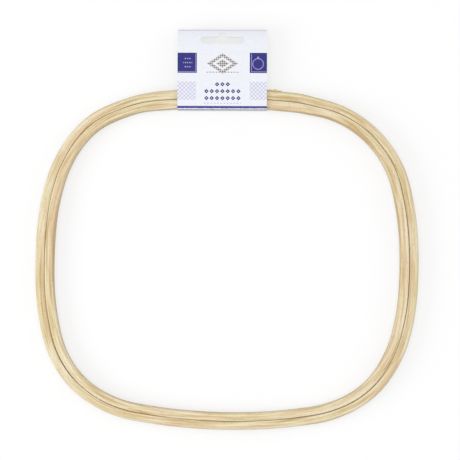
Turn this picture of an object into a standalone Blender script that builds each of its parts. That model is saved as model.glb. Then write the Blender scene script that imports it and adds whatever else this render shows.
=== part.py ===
"""Square embroidery frame: two bent beech rings, a brass tension screw and a folded hang card.

Sizes are in metres. The frame lies flat: X runs across it, +Y points to the tension screw and
+Z up. The origin is the middle of the whole object's footprint, on the table.
"""

import math

import bmesh
import bpy
from mathutils import Vector
from mathutils.geometry import intersect_sphere_sphere_2d

MM = 0.001

# Fit between pieces that touch, and how far a facet may cut inside its arc
CLEARANCE = 0.3 * MM
FACET_SAG = 0.07 * MM

# Outer outline of the frame: an oval of eight arcs, each tangent to the next
FRAME_WIDTH = 280 * MM
FRAME_DEPTH = 250 * MM
SIDE_RADIUS = 244 * MM
END_RADIUS = 383 * MM
CORNER_RADIUS = 83 * MM

# Bent beech rings
OUTER_RING_THICKNESS = 6.7 * MM
INNER_RING_THICKNESS = 6.7 * MM
RING_HEIGHT = 9.5 * MM
HAND_EDGE_RADIUS = 1.8 * MM
SEAM_EDGE_RADIUS = 0.7 * MM
SPLIT_WIDTH = 9 * MM

# Brass brackets at the split: a strap along the ring and an ear that the screw passes through
SHEET_THICKNESS = 0.7 * MM
STRAP_WIDTH = 7.5 * MM
STRAP_REACH = 38 * MM
STRAP_SHOULDER = 3 * MM
STRAP_CORNER_RADIUS = 1.2 * MM
EAR_OVERHANG = 0.3 * MM
EAR_WIDTH = 9 * MM
EAR_TIP = 4.3 * MM
EAR_CORNER_RADIUS = 1.5 * MM
EAR_BEND_RADIUS = 0.8 * MM
POCKET_LIP_REACH = 2.6 * MM

# Rivets that hold the straps
RIVET_SHANK_DIAMETER = 2.2 * MM
RIVET_HEAD_DIAMETER = 4.2 * MM
RIVET_HEAD_HEIGHT = 0.9 * MM
RIVET_FLARE_DIAMETER = 3.6 * MM
RIVET_FLARE_DEPTH = 0.8 * MM
RIVET_TO_EAR = 9 * MM
RIVET_TO_STRAP_END = 4.5 * MM
RIVETS_PER_STRAP = 3

# Tension screw, its washer and the square nut in the left ear
SCREW_STANDOFF = 6.4 * MM
SCREW_DIAMETER = 4 * MM
SCREW_LENGTH = 23 * MM
SCREW_POINT = 0.5 * MM
HEAD_DIAMETER = 7.8 * MM
HEAD_LENGTH = 7.5 * MM
HEAD_CHAMFER = 0.5 * MM
FLUTES = 24
FLUTE_DEPTH = 0.35 * MM
NECK_DIAMETER = 5.6 * MM
NECK_LENGTH = 0.9 * MM
DRIVER_SLOT_WIDTH = 1.1 * MM
DRIVER_SLOT_DEPTH = 1.3 * MM
WASHER_DIAMETER = 7 * MM
WASHER_THICKNESS = 0.8 * MM
WASHER_EDGE = 0.15 * MM
NUT_ACROSS_FLATS = 7 * MM
NUT_THICKNESS = 3.2 * MM
NUT_EDGE = 0.4 * MM

# Hang card: one blank folded round the band, with a back leaf, a spine and a front leaf
CARD_WIDTH = 65.4 * MM
CARD_LENGTH = 59 * MM
CARD_THICKNESS = 0.4 * MM
CARD_SHIFT = -5.5 * MM
CARD_HEADROOM = 1.2 * MM
CARD_CORNER_RADIUS = 1.2 * MM
CARD_FOLD_RADIUS = 0.7 * MM
FRONT_DROOP_LENGTH = 16 * MM
FRONT_DROOP = 1.5 * MM
BACK_RISE_START = 29 * MM
BACK_RISE_LENGTH = 25 * MM
TAPE_THICKNESS = 0.25 * MM
TAPE_DEPTH = 1.6 * MM
TAPE_LENGTH = 54 * MM
TAPE_INSET = 0.5 * MM
HANG_SLOT_LENGTH = 32 * MM
HANG_SLOT_HEIGHT = 4.8 * MM
HANG_SLOT_DROP = 8.2 * MM
HANG_BUMP_RADIUS = 3.4 * MM
HANG_BUMP_RISE = 3 * MM

# Sizes that follow from the ones above
BAND = OUTER_RING_THICKNESS + CLEARANCE + INNER_RING_THICKNESS
RING_BOTTOM = CARD_THICKNESS + CLEARANCE
RING_TOP = RING_BOTTOM + RING_HEIGHT
RING_MID = RING_BOTTOM + RING_HEIGHT / 2
CARD_TOP = RING_TOP + CARD_HEADROOM + CARD_THICKNESS
STRAP_INNER = CLEARANCE
STRAP_OUTER = STRAP_INNER + SHEET_THICKNESS
EAR_INNER_X = SPLIT_WIDTH / 2 + EAR_OVERHANG
EAR_OUTER_X = EAR_INNER_X + SHEET_THICKNESS
FIRST_RIVET_X = EAR_OUTER_X + RIVET_TO_EAR
LAST_RIVET_X = STRAP_REACH - RIVET_TO_STRAP_END
WASHER_X = EAR_OUTER_X + CLEARANCE
HEAD_X = WASHER_X + WASHER_THICKNESS + CLEARANCE
SCREW_Y = FRAME_DEPTH / 2 + SCREW_STANDOFF
THREAD_HOLE_DIAMETER = SCREW_DIAMETER + 2 * CLEARANCE

# How far a cutter or a blank runs past what it trims, and three turns of an object
SLACK = 10 * MM
ALONG_X = (0, math.pi / 2, 0)
UPRIGHT = (math.pi / 2, 0, 0)
STANDING = (math.pi / 2, 0, math.pi / 2)


def clear_scene():
    for old in list(bpy.data.objects):
        bpy.data.objects.remove(old)


def new_collection(name):
    collection = bpy.data.collections.new(name)
    bpy.context.scene.collection.children.link(collection)
    return collection


def add_object(name, data, collection, parent=None, location=(0, 0, 0), rotation=(0, 0, 0)):
    thing = bpy.data.objects.new(name, data)
    thing.location = location
    thing.rotation_euler = rotation
    thing.parent = parent
    collection.objects.link(thing)
    return thing


def add_empty(name, parent=None, location=(0, 0, 0), rotation=(0, 0, 0)):
    empty = add_object(name, None, parts, parent, location, rotation)
    empty.empty_display_size = 5 * MM
    return empty


def as_cutter(cutter):
    cutter.display_type = 'WIRE'
    cutter.hide_render = True
    return cutter


def add_cutter(name, mesh, parent=None, location=(0, 0, 0), rotation=(0, 0, 0)):
    return as_cutter(add_object(name, mesh, cutters, parent, location, rotation))


def material(name, colour, roughness, metallic=0.0):
    finish = bpy.data.materials.new(name)
    finish.use_nodes = True
    shader = finish.node_tree.nodes['Principled BSDF']
    shader.inputs['Base Color'].default_value = (*colour, 1)
    shader.inputs['Roughness'].default_value = roughness
    shader.inputs['Metallic'].default_value = metallic
    finish.diffuse_color = (*colour, 1)
    return finish


def dress(part, finish, smooth_angle=35):
    part.data.materials.append(finish)
    part.data.shade_smooth()
    part.data.set_sharp_from_angle(angle=math.radians(smooth_angle))
    return part


def boolean(part, cutter, operation='DIFFERENCE'):
    cut = part.modifiers.new(cutter.name, 'BOOLEAN')
    cut.object = cutter
    cut.operation = operation
    cut.solver = 'EXACT'


def arc(centre, radius, start, end, steps):
    """Points from the start angle to the end angle, both included."""
    angles = [start + (end - start) * step / steps for step in range(steps + 1)]
    return [Vector(centre) + radius * Vector((math.cos(a), math.sin(a))) for a in angles]


def arc_steps(radius, angle):
    """Facets that keep an arc of this radius and angle within the facet sag."""
    widest = 2 * math.acos(1 - min(FACET_SAG / radius, 1))
    return max(2, math.ceil(abs(angle) / widest))


def rounded_box(width, height, radii, steps=3):
    """Outline round the origin, with a corner radius for each of +X+Y, -X+Y, -X-Y and +X-Y."""
    outline = []
    for turn, radius in enumerate(radii):
        side_x = 1 if turn in (0, 3) else -1
        side_y = 1 if turn in (0, 1) else -1
        centre = (side_x * (width / 2 - radius), side_y * (height / 2 - radius))
        start = turn * math.pi / 2
        outline += arc(centre, radius, start, start + math.pi / 2, steps)
    return outline


def curve_data(name, points, closed, dimensions='2D', fill='NONE'):
    data = bpy.data.curves.new(name, 'CURVE')
    data.dimensions = dimensions
    data.fill_mode = fill
    spline = data.splines.new('POLY')
    spline.points.add(len(points) - 1)
    for point, place in zip(spline.points, points):
        point.co = (place[0], place[1], 0, 1)
    spline.use_cyclic_u = closed
    return data


def mesh_from_curve(data):
    """Mesh of a curve with its loose caps welded and, where it is closed, its faces outwards."""
    source = add_object(data.name, data, cutters)
    bpy.context.view_layer.update()
    evaluated = source.evaluated_get(bpy.context.evaluated_depsgraph_get())
    mesh = bpy.data.meshes.new_from_object(evaluated)
    bpy.data.objects.remove(source)
    edit = bmesh.new()
    edit.from_mesh(mesh)
    bmesh.ops.remove_doubles(edit, verts=edit.verts, dist=1e-6)
    if all(edge.is_manifold for edge in edit.edges):
        bmesh.ops.recalc_face_normals(edit, faces=edit.faces)
    edit.to_mesh(mesh)
    edit.free()
    return mesh


def swept(name, path, section, closed):
    """A section drawn in XY and carried along a flat path, its +X side outwards."""
    profile_data = curve_data(name + '_section', section, closed=True)
    profile = add_object(name + '_section', profile_data, cutters)
    data = curve_data(name, path, closed, dimensions='3D', fill='FULL')
    data.twist_mode = 'Z_UP'
    data.bevel_mode = 'OBJECT'
    data.bevel_object = profile
    data.use_fill_caps = not closed
    mesh = mesh_from_curve(data)
    bpy.data.objects.remove(profile)
    return mesh


def prism(name, outline, height):
    """A flat outline with this height, half of it on each side of its plane."""
    data = curve_data(name, outline, closed=True, fill='BOTH')
    data.extrude = height / 2
    return mesh_from_curve(data)


def ribbon(name, line, width):
    """An open line drawn in XY, extruded along Z into a surface with no thickness."""
    data = curve_data(name, line, closed=False)
    data.extrude = width / 2
    return mesh_from_curve(data)


def thicken(part, thickness):
    shell = part.modifiers.new('thickness', 'SOLIDIFY')
    shell.thickness = thickness
    shell.offset = 0
    shell.use_even_offset = True


def turned(name, profile, steps, collection, parent, location=(0, 0, 0), rotation=ALONG_X):
    """A solid turned about Z from (radius, height) points that run from its top to its foot."""
    mesh = bpy.data.meshes.new(name)
    points = [(radius, 0, height) for radius, height in profile]
    mesh.from_pydata(points, [(i, i + 1) for i in range(len(points) - 1)], [])
    part = add_object(name, mesh, collection, parent, location, rotation)
    spin = part.modifiers.new('turn', 'SCREW')
    spin.axis = 'Z'
    spin.steps = steps
    spin.render_steps = steps
    spin.use_merge_vertices = True
    spin.merge_threshold = 1e-6
    return part


def bore_cutter(name, diameter, location, rotation=ALONG_X, steps=16):
    outline = arc((0, 0), diameter / 2, 0, 2 * math.pi, steps)[:-1]
    return add_cutter(name, prism(name, outline, 2 * SLACK), hoop_centre, location, rotation)


def box_cutter(name, size, location):
    half_x = size[0] / 2
    half_y = size[1] / 2
    corners = [(half_x, half_y), (-half_x, half_y), (-half_x, -half_y), (half_x, -half_y)]
    return add_cutter(name, prism(name, corners, size[2]), hoop_centre, location)


# Outline of the frame

def outline_centres():
    """Centres of the right side arc, the far end arc and the corner arc between them."""
    side = Vector((FRAME_WIDTH / 2 - SIDE_RADIUS, 0))
    end = Vector((0, FRAME_DEPTH / 2 - END_RADIUS))
    reach = (SIDE_RADIUS - CORNER_RADIUS, END_RADIUS - CORNER_RADIUS)
    meetings = intersect_sphere_sphere_2d(side, reach[0], end, reach[1])
    corner = max(meetings, key=lambda point: point.x + point.y)
    return side, end, corner


def outline_stations(half_split):
    """Centre, radius and angle of each point of the outline, counterclockwise from the split."""
    side, end, corner = outline_centres()
    low = math.atan2(corner.y, corner.x - side.x)
    high = math.atan2(corner.y - end.y, corner.x)
    split = math.asin(half_split / END_RADIUS)
    half = math.pi
    full = 2 * math.pi
    runs = [
        ((0, end.y), END_RADIUS, half / 2 + split, half - high),
        ((-corner.x, corner.y), CORNER_RADIUS, half - high, half - low),
        ((-side.x, 0), SIDE_RADIUS, half - low, half + low),
        ((-corner.x, -corner.y), CORNER_RADIUS, half + low, half + high),
        ((0, -end.y), END_RADIUS, half + high, full - high),
        ((corner.x, -corner.y), CORNER_RADIUS, full - high, full - low),
        ((side.x, 0), SIDE_RADIUS, full - low, full + low),
        ((corner.x, corner.y), CORNER_RADIUS, full + low, full + high),
        ((0, end.y), END_RADIUS, full + high, full + half / 2 - split),
    ]
    stations = []
    for centre, radius, start, finish in runs:
        steps = arc_steps(radius, finish - start)
        for step in range(steps):
            stations.append((centre, radius, start + (finish - start) * step / steps))
    stations.append((runs[-1][0], runs[-1][1], runs[-1][3]))
    return stations


def outline_path(inset, half_split=0.0):
    """The outline moved inwards, open at the split or closed where it has none."""
    points = []
    for centre, radius, angle in outline_stations(half_split):
        direction = Vector((math.cos(angle), math.sin(angle)))
        points.append(Vector(centre) + (radius - inset) * direction)
    return points if half_split else points[:-1]


def end_point(x, inset=0.0):
    """Point of the far end arc at this X, and the angle of its outward normal."""
    centre_y = FRAME_DEPTH / 2 - END_RADIUS
    radius = END_RADIUS - inset
    point = Vector((x, centre_y + math.sqrt(radius ** 2 - x ** 2)))
    return point, math.atan2(point.y - centre_y, x)


# Beech rings

def ring_section(thickness, outside_radius, inside_radius):
    radii = (outside_radius, inside_radius, inside_radius, outside_radius)
    return rounded_box(thickness, RING_HEIGHT, radii)


def inner_hoop():
    section = ring_section(INNER_RING_THICKNESS, SEAM_EDGE_RADIUS, HAND_EDGE_RADIUS)
    middle = OUTER_RING_THICKNESS + CLEARANCE + INNER_RING_THICKNESS / 2
    mesh = swept('inner_hoop', outline_path(middle), section, closed=True)
    ring = add_object('inner_hoop', mesh, parts, hoop_centre, (0, 0, RING_MID))
    return dress(ring, material('steamed_beech', (0.76, 0.63, 0.42), 0.55))


def outer_hoop():
    section = ring_section(OUTER_RING_THICKNESS, HAND_EDGE_RADIUS, SEAM_EDGE_RADIUS)
    path = outline_path(OUTER_RING_THICKNESS / 2, SPLIT_WIDTH / 2)
    mesh = swept('outer_hoop', path, section, closed=False)
    ring = add_object('outer_hoop', mesh, parts, hoop_centre, (0, 0, RING_MID))
    for side in (-1, 1):
        for number in range(RIVETS_PER_STRAP):
            boolean(ring, rivet_hole(side, number))
    return dress(ring, material('pale_beech', (0.80, 0.68, 0.47), 0.5))


# Rivets

def rivet_name(side, number):
    return f'rivet_{"left" if side < 0 else "right"}_{number + 1}'


def rivet_place(side, number):
    """Point on the outer ring's outer face, and the turn that points local Z outwards."""
    share = number / max(RIVETS_PER_STRAP - 1, 1)
    x = FIRST_RIVET_X + share * (LAST_RIVET_X - FIRST_RIVET_X)
    point, angle = end_point(side * x)
    return (point.x, point.y, RING_MID), (math.pi / 2, 0, angle + math.pi / 2)


def rivet_hole(side, number):
    """Cutter for the shank and the flared end, open at both faces of the ring."""
    bore = RIVET_SHANK_DIAMETER / 2 + CLEARANCE
    flare = RIVET_FLARE_DIAMETER / 2 + CLEARANCE
    foot = -OUTER_RING_THICKNESS
    past = 2 * CLEARANCE
    profile = [
        (0, past),
        (bore, past),
        (bore, foot + RIVET_FLARE_DEPTH + CLEARANCE),
        (flare, foot),
        (flare, foot - past),
        (0, foot - past),
    ]
    name = rivet_name(side, number) + '_hole'
    return as_cutter(turned(name, profile, 12, cutters, hoop_centre, *rivet_place(side, number)))


def rivet(side, number, finish):
    """Domed head on the strap, shank through the ring and a flared end below its inner face."""
    seat = STRAP_OUTER + CLEARANCE
    head = RIVET_HEAD_DIAMETER / 2
    shank = RIVET_SHANK_DIAMETER / 2
    flare = RIVET_FLARE_DIAMETER / 2
    foot = CLEARANCE - OUTER_RING_THICKNESS
    steps = 4
    dome = []
    for step in range(steps + 1):
        angle = math.pi / 2 * step / steps
        dome.append((head * math.sin(angle), seat + RIVET_HEAD_HEIGHT * math.cos(angle)))
    profile = dome + [
        (shank, seat),
        (shank, foot + RIVET_FLARE_DEPTH),
        (flare, foot),
        (0, foot),
    ]
    place = rivet_place(side, number)
    part = turned(rivet_name(side, number), profile, 14, parts, hoop_centre, *place)
    return dress(part, finish)


# Brackets

def bracket_line(side):
    """Middle line of the sheet in plan: along the ring from the strap's end, then out."""
    middle = STRAP_INNER + SHEET_THICKNESS / 2
    radius = END_RADIUS + middle
    centre = Vector((0, FRAME_DEPTH / 2 - END_RADIUS))
    bend = EAR_BEND_RADIUS + SHEET_THICKNESS / 2
    ear_x = EAR_INNER_X + SHEET_THICKNESS / 2
    bend_x = ear_x + bend
    bend_y = centre.y + math.sqrt((radius + bend) ** 2 - bend_x ** 2)
    start = math.asin(STRAP_REACH / radius)
    finish = math.atan2(bend_x, bend_y - centre.y)
    steps = 10
    line = []
    for step in range(steps + 1):
        lean = start + (finish - start) * step / steps
        line.append(centre + radius * Vector((math.sin(lean), math.cos(lean))))
    line += arc((bend_x, bend_y), bend, -math.pi / 2 - finish, -math.pi, 5)[1:]
    line.append(Vector((ear_x, SCREW_Y + EAR_TIP + SLACK)))
    return [Vector((side * point.x, point.y)) for point in line]


def bracket_profile():
    """End view of the blank: as wide as the ear, whose tip is rounded."""
    foot = FRAME_DEPTH / 2 - SLACK
    tip = SCREW_Y + EAR_TIP
    ear = EAR_WIDTH / 2
    radius = EAR_CORNER_RADIUS
    outline = [(-ear, foot), (ear, foot)]
    outline += arc((ear - radius, tip - radius), radius, 0, math.pi / 2, 4)
    outline += arc((radius - ear, tip - radius), radius, math.pi / 2, math.pi, 4)
    return outline


def strap_outline(side):
    """Front view of the blank: it narrows from the ear to the strap, whose end is rounded."""
    shoulder = EAR_OUTER_X + EAR_BEND_RADIUS + STRAP_SHOULDER
    half = STRAP_WIDTH / 2
    radius = STRAP_CORNER_RADIUS
    round_x = STRAP_REACH - radius
    outline = [(shoulder - SLACK, -half - SLACK), (shoulder, -half)]
    outline += arc((round_x, radius - half), radius, -math.pi / 2, 0, 4)
    outline += arc((round_x, half - radius), radius, 0, math.pi / 2, 4)
    outline += [(shoulder, half), (shoulder - SLACK, half + SLACK)]
    return [(side * x, z) for x, z in outline]


def bracket(side, finish):
    name = 'bracket_left' if side < 0 else 'bracket_right'
    mesh = ribbon(name, bracket_line(side), EAR_WIDTH + 2 * SLACK)
    part = add_object(name, mesh, parts, hoop_centre, (0, 0, RING_MID))
    thicken(part, SHEET_THICKNESS)
    profile = prism(name + '_profile', bracket_profile(), 2 * (STRAP_REACH + SLACK))
    outline = prism(name + '_outline', strap_outline(side), 4 * SLACK)
    for mesh, y, turn in ((profile, 0, ALONG_X), (outline, FRAME_DEPTH / 2, UPRIGHT)):
        cutter = add_cutter(mesh.name, mesh, hoop_centre, (0, y, RING_MID), turn)
        boolean(part, cutter, 'INTERSECT')
    if side < 0:
        for edge in (-1, 1):
            boolean(part, pocket_lip(edge), 'UNION')
    screw_at = (side * EAR_INNER_X, SCREW_Y, RING_MID)
    boolean(part, bore_cutter(name + '_screw_hole', THREAD_HOLE_DIAMETER, screw_at))
    rivet_bore = RIVET_SHANK_DIAMETER + 2 * CLEARANCE
    for number in range(RIVETS_PER_STRAP):
        hole_name = f'{name}_rivet_hole_{number + 1}'
        place = rivet_place(side, number)
        boolean(part, bore_cutter(hole_name, rivet_bore, *place, steps=12))
    return dress(part, finish)


def pocket_lip(edge):
    """Folded edge of the left ear that stops the square nut from turning."""
    inside = NUT_ACROSS_FLATS / 2 + CLEARANCE
    thickness = EAR_WIDTH / 2 - inside
    reach = POCKET_LIP_REACH + SHEET_THICKNESS / 2
    length = NUT_ACROSS_FLATS - NUT_EDGE
    size = (reach, length, thickness)
    x = -(EAR_INNER_X + SHEET_THICKNESS / 2 + reach / 2)
    z = RING_MID + edge * (inside + thickness / 2)
    name = 'pocket_lip_' + ('low' if edge < 0 else 'high')
    return box_cutter(name, size, (x, SCREW_Y, z))


# Screw, washer and nut

def tension_screw():
    """Fluted thumb head with a driver slot, a neck and a plain shank with a chamfered point."""
    shank = SCREW_DIAMETER / 2
    neck = NECK_DIAMETER / 2
    profile = [
        (0, HEAD_LENGTH / 2),
        (neck, HEAD_LENGTH / 2),
        (neck, 0),
        (shank, 0),
        (shank, SCREW_POINT - SCREW_LENGTH),
        (shank - SCREW_POINT, -SCREW_LENGTH),
        (0, -SCREW_LENGTH),
    ]
    part = turned('tension_screw', profile, 20, parts, screw_axis)
    boolean(part, thumb_head(), 'UNION')
    boolean(part, driver_slot())
    return dress(part, material('turned_brass', (0.72, 0.55, 0.26), 0.3, 1.0))


def thumb_head():
    """Fluted grip: a round outline with shallow grooves, its two rims chamfered."""
    points = []
    for step in range(2 * FLUTES):
        radius = HEAD_DIAMETER / 2 - (FLUTE_DEPTH if step % 2 else 0)
        angle = math.pi * step / FLUTES
        points.append((radius * math.cos(angle), radius * math.sin(angle)))
    grip_length = HEAD_LENGTH - NECK_LENGTH
    mesh = prism('thumb_head', points, grip_length)
    place = (NECK_LENGTH + grip_length / 2, 0, 0)
    grip = add_cutter('thumb_head', mesh, screw_axis, place, ALONG_X)
    boolean(grip, head_envelope(grip_length, place), 'INTERSECT')
    return grip


def head_envelope(grip_length, place):
    """Chamfered barrel that trims the fluted grip's rims."""
    radius = HEAD_DIAMETER / 2 + FLUTE_DEPTH
    rim = HEAD_DIAMETER / 2 - HEAD_CHAMFER
    slope = radius - rim
    half = grip_length / 2
    profile = [
        (0, half + CLEARANCE),
        (rim - CLEARANCE, half + CLEARANCE),
        (radius, half - slope),
        (radius, slope - half),
        (rim - CLEARANCE, -half - CLEARANCE),
        (0, -half - CLEARANCE),
    ]
    return as_cutter(turned('head_envelope', profile, 24, cutters, screw_axis, place))


def driver_slot():
    size = (2 * DRIVER_SLOT_DEPTH, 2 * HEAD_DIAMETER, DRIVER_SLOT_WIDTH)
    return box_cutter('driver_slot', size, (HEAD_X + HEAD_LENGTH, SCREW_Y, RING_MID))


def screw_washer():
    bore = THREAD_HOLE_DIAMETER / 2
    rim = WASHER_DIAMETER / 2
    half = WASHER_THICKNESS / 2
    profile = [
        (bore, half),
        (rim - WASHER_EDGE, half),
        (rim, half - WASHER_EDGE),
        (rim, WASHER_EDGE - half),
        (rim - WASHER_EDGE, -half),
        (bore, -half),
        (bore, half),
    ]
    place = (WASHER_X + half, SCREW_Y, RING_MID)
    part = turned('screw_washer', profile, 24, parts, hoop_centre, place)
    return dress(part, material('washer_brass', (0.75, 0.58, 0.30), 0.35, 1.0))


def square_nut():
    """Square nut in the left ear's pocket, bored for the screw, its edges eased."""
    outline = rounded_box(NUT_ACROSS_FLATS, NUT_ACROSS_FLATS, (NUT_EDGE,) * 4, steps=2)
    mesh = prism('square_nut', outline, NUT_THICKNESS)
    place = (-(EAR_OUTER_X + CLEARANCE + NUT_THICKNESS / 2), SCREW_Y, RING_MID)
    part = add_object('square_nut', mesh, parts, hoop_centre, place, ALONG_X)
    boolean(part, bore_cutter('nut_bore', THREAD_HOLE_DIAMETER, place))
    return dress(part, material('nut_brass', (0.70, 0.54, 0.28), 0.4, 1.0))


# Hang card

def fold_place():
    """Middle of the fold's outer edge and the card's turn: the spine spans the band's arc."""
    left, _ = end_point(CARD_SHIFT - CARD_WIDTH / 2, BAND)
    right, _ = end_point(CARD_SHIFT + CARD_WIDTH / 2, BAND)
    turn = math.atan2(right.y - left.y, right.x - left.x)
    inwards = Vector((math.sin(turn), -math.cos(turn)))
    return (left + right) / 2 + (CLEARANCE + CARD_THICKNESS) * inwards, turn


def card_reach():
    """Highest Y of the card, at the rounded corner that its turn lifts."""
    fold, turn = fold_place()
    across = CARD_WIDTH / 2 - CARD_CORNER_RADIUS
    along = CARD_LENGTH - CARD_CORNER_RADIUS
    lift = abs(across * math.sin(turn)) + along * math.cos(turn)
    return fold.y + lift + CARD_CORNER_RADIUS


def front_underside(y):
    """Height of the front leaf's underside: level, then drooping towards the hanging edge."""
    level = CARD_TOP - CARD_THICKNESS
    past = max(0.0, y - (CARD_LENGTH - FRONT_DROOP_LENGTH))
    return level - FRONT_DROOP * (past / FRONT_DROOP_LENGTH) ** 2


def back_topside(y):
    """Height of the back leaf's upper face: flat under the band, then up to the front leaf."""
    share = min(max((y - BACK_RISE_START) / BACK_RISE_LENGTH, 0.0), 1.0)
    ease = share * share * (3 - 2 * share)
    meeting = front_underside(y) - 2 * CLEARANCE - TAPE_THICKNESS
    return CARD_THICKNESS + ease * (meeting - CARD_THICKNESS)


def samples(start, finish, count):
    return [start + (finish - start) * step / count for step in range(count + 1)]


def card_leaf(name, line, finish, parent, location=(0, 0, 0)):
    """A leaf drawn from the side, given its thickness and trimmed to the blank's outline."""
    mesh = ribbon(name, line, CARD_WIDTH + SLACK)
    part = add_object(name, mesh, parts, parent, location, STANDING)
    thicken(part, CARD_THICKNESS)
    boolean(part, blank_outline(name), 'INTERSECT')
    boolean(part, hang_slot(name))
    return dress(part, finish, smooth_angle=30)


def blank_outline(name):
    """Plan of one leaf, with the two corners of its hanging edge rounded."""
    half = CARD_WIDTH / 2
    radius = CARD_CORNER_RADIUS
    outline = [(-half, -SLACK), (half, -SLACK)]
    outline += arc((half - radius, CARD_LENGTH - radius), radius, 0, math.pi / 2, 4)
    outline += arc((radius - half, CARD_LENGTH - radius), radius, math.pi / 2, math.pi, 4)
    mesh = prism(name + '_outline', outline, 4 * CARD_TOP)
    return add_cutter(name + '_outline', mesh, card_fold)


def hang_slot(name):
    """Cutter for the hanging slot: a long round-ended hole with a bump in its upper edge."""
    half = HANG_SLOT_HEIGHT / 2
    reach = HANG_SLOT_LENGTH / 2 - half
    bump_y = half + HANG_BUMP_RISE - HANG_BUMP_RADIUS
    bump_start = math.asin((half - bump_y) / HANG_BUMP_RADIUS)
    outline = arc((reach, 0), half, -math.pi / 2, math.pi / 2, 8)
    outline += arc((0, bump_y), HANG_BUMP_RADIUS, bump_start, math.pi - bump_start, 10)
    outline += arc((-reach, 0), half, math.pi / 2, 3 * math.pi / 2, 8)
    mesh = prism(name + '_slot', outline, 4 * CARD_TOP)
    place = (0, CARD_LENGTH - HANG_SLOT_DROP, 0)
    return add_cutter(name + '_slot', mesh, card_fold, place)


def card_front(finish):
    """Spine up the inside of the band, a rounded fold and the front leaf over the band."""
    middle = CARD_THICKNESS / 2
    bend = CARD_FOLD_RADIUS - middle
    top = CARD_TOP - middle
    line = [Vector((middle, CARD_THICKNESS + CLEARANCE))]
    line += arc((middle + bend, top - bend), bend, math.pi, math.pi / 2, 4)
    droop_start = CARD_LENGTH - FRONT_DROOP_LENGTH
    for y in samples(droop_start, CARD_LENGTH + CLEARANCE, 8):
        line.append(Vector((y, front_underside(y) + middle)))
    return card_leaf('card_front', line, finish, fold_hinge, -fold_hinge.location)


def card_back(finish):
    """Back leaf under the band, rising past the screw to meet the front leaf."""
    middle = CARD_THICKNESS / 2
    line = [Vector((0, middle))]
    for y in samples(BACK_RISE_START, CARD_LENGTH + CLEARANCE, 16):
        line.append(Vector((y, back_topside(y) - middle)))
    return card_leaf('card_back', line, finish, card_fold)


def card_tape():
    """Strip of double-sided tape between the leaves, above the hanging slot."""
    far = CARD_LENGTH - TAPE_INSET
    line = []
    for y in samples(far - TAPE_DEPTH, far, 2):
        line.append(Vector((y, front_underside(y) - CLEARANCE - TAPE_THICKNESS / 2)))
    mesh = ribbon('card_tape', line, TAPE_LENGTH)
    part = add_object('card_tape', mesh, parts, card_fold, rotation=STANDING)
    thicken(part, TAPE_THICKNESS)
    return dress(part, material('clear_tape', (0.86, 0.85, 0.78), 0.4))


clear_scene()
parts = new_collection('square_embroidery_frame')
cutters = new_collection('cutters')

hoop_centre = add_empty('hoop_centre', location=(0, (FRAME_DEPTH / 2 - card_reach()) / 2, 0))
screw_axis = add_empty('screw_axis', hoop_centre, (HEAD_X, SCREW_Y, RING_MID))
fold_point, fold_turn = fold_place()
card_fold = add_empty('card_fold', hoop_centre, (*fold_point, 0), (0, 0, fold_turn))
fold_hinge = add_empty('fold_hinge', card_fold, (0, CARD_THICKNESS / 2, CARD_THICKNESS / 2))

inner_hoop()
outer_hoop()

sheet_brass = material('sheet_brass', (0.70, 0.56, 0.32), 0.38, 1.0)
rivet_brass = material('rivet_brass', (0.74, 0.60, 0.36), 0.32, 1.0)
for strap_side in (-1, 1):
    bracket(strap_side, sheet_brass)
    for rivet_number in range(RIVETS_PER_STRAP):
        rivet(strap_side, rivet_number, rivet_brass)

tension_screw()
screw_washer()
square_nut()

white_card = material('white_card', (0.87, 0.88, 0.93), 0.6)
card_back(white_card)
card_front(white_card)
card_tape()
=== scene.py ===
import math
import bmesh
import bpy
from functools import partial
from mathutils import Matrix, Vector
from mathutils.geometry import intersect_sphere_sphere_2d


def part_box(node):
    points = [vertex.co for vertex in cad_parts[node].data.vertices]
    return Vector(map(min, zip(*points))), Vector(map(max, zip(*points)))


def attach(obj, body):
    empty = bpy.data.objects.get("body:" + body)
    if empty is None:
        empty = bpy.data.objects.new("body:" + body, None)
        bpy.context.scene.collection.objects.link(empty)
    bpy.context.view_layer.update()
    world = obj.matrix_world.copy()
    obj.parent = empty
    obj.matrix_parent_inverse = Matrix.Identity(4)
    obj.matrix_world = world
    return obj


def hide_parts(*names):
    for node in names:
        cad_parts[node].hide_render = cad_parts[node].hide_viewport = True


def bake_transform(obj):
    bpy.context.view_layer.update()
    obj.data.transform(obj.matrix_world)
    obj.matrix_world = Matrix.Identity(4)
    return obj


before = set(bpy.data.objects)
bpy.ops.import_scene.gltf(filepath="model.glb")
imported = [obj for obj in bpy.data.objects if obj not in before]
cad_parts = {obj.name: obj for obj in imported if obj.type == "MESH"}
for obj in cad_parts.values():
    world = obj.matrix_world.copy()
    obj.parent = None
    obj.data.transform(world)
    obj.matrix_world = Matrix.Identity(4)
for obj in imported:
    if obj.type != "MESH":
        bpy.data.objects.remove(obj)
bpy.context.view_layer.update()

MM = 0.001

# Outline of the frame and section of its two rings, as the CAD model has them.
FRAME_WIDTH = 280 * MM
FRAME_DEPTH = 250 * MM
SIDE_RADIUS = 244 * MM
END_RADIUS = 383 * MM
CORNER_RADIUS = 83 * MM
RING_THICKNESS = 6.7 * MM
RING_HEIGHT = 9.5 * MM
RING_GAP = 0.3 * MM
HAND_EDGE_RADIUS = 1.8 * MM
SEAM_EDGE_RADIUS = 0.7 * MM
SPLIT_WIDTH = 9 * MM
BAND = 2 * RING_THICKNESS + RING_GAP
PATH_STEP = 1.6 * MM

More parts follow.
